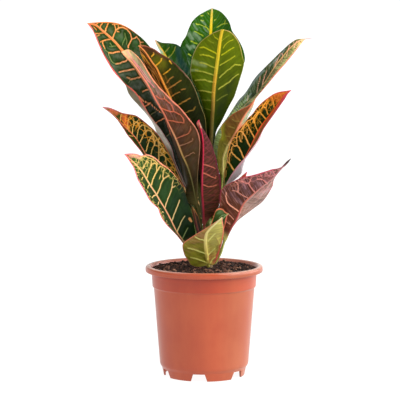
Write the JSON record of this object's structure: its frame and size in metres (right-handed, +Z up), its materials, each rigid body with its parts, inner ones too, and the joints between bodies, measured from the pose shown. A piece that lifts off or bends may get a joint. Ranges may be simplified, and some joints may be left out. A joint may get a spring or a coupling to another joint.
{
  "type": "potted croton plant",
  "caption": "Croton houseplant with long painted-looking leaves on an upright stem, in potting mix inside a round tapered nursery pot with a rolled lip and notched foot ring.",
  "frame": {"origin": "centre of the circle the pot's feet stand on, at the level of the surface it rests on", "axes": "+Z up along the pot's axis; -Y towards the front, the side the picture shows; +X to the right as seen from the front"},
  "size_m": [0.2469, 0.1431, 0.405],
  "materials": {
    "pot_plastic": "smooth moulded terracotta-coloured plastic, softly glossy",
    "potting_mix": "loose, damp, lumpy and matt",
    "stem_bark": "green-brown young bark with leaf scars",
    "leaf_green": "waxy dark green with raised yellow to orange veins",
    "leaf_bronze": "satin olive to bronze with orange midrib and veins",
    "leaf_maroon": "waxy maroon with crimson midrib"
  },
  "bodies": {
    "root": {"pot": "pot_plastic", "soil": "potting_mix", "stem": "stem_bark", "leaf_upper_left": "leaf_green", "leaf_top_back": "leaf_green", "leaf_small_back_left": "leaf_green", "leaf_right_long": "leaf_green", "leaf_right_orange_veined": "leaf_green", "leaf_low_front_small": "leaf_green", "leaf_left_gold_veined": "leaf_green", "leaf_low_left_green": "leaf_green", "leaf_back_upper": "leaf_green", "leaf_back_upper_left": "leaf_green", "leaf_back_right": "leaf_green", "leaf_back_middle": "leaf_green", "leaf_back_low_left": "leaf_green", "leaf_back_low": "leaf_green", "leaf_mid_left_front": "leaf_bronze", "leaf_centre_left": "leaf_bronze", "leaf_centre_front": "leaf_bronze", "leaf_right_brown": "leaf_bronze", "leaf_low_front_olive": "leaf_bronze", "leaf_centre_maroon": "leaf_maroon", "leaf_small_centre_maroon": "leaf_maroon", "leaf_low_right_maroon": "leaf_maroon", "leaf_back_low_right": "leaf_maroon"}
  },
  "joints": []
}
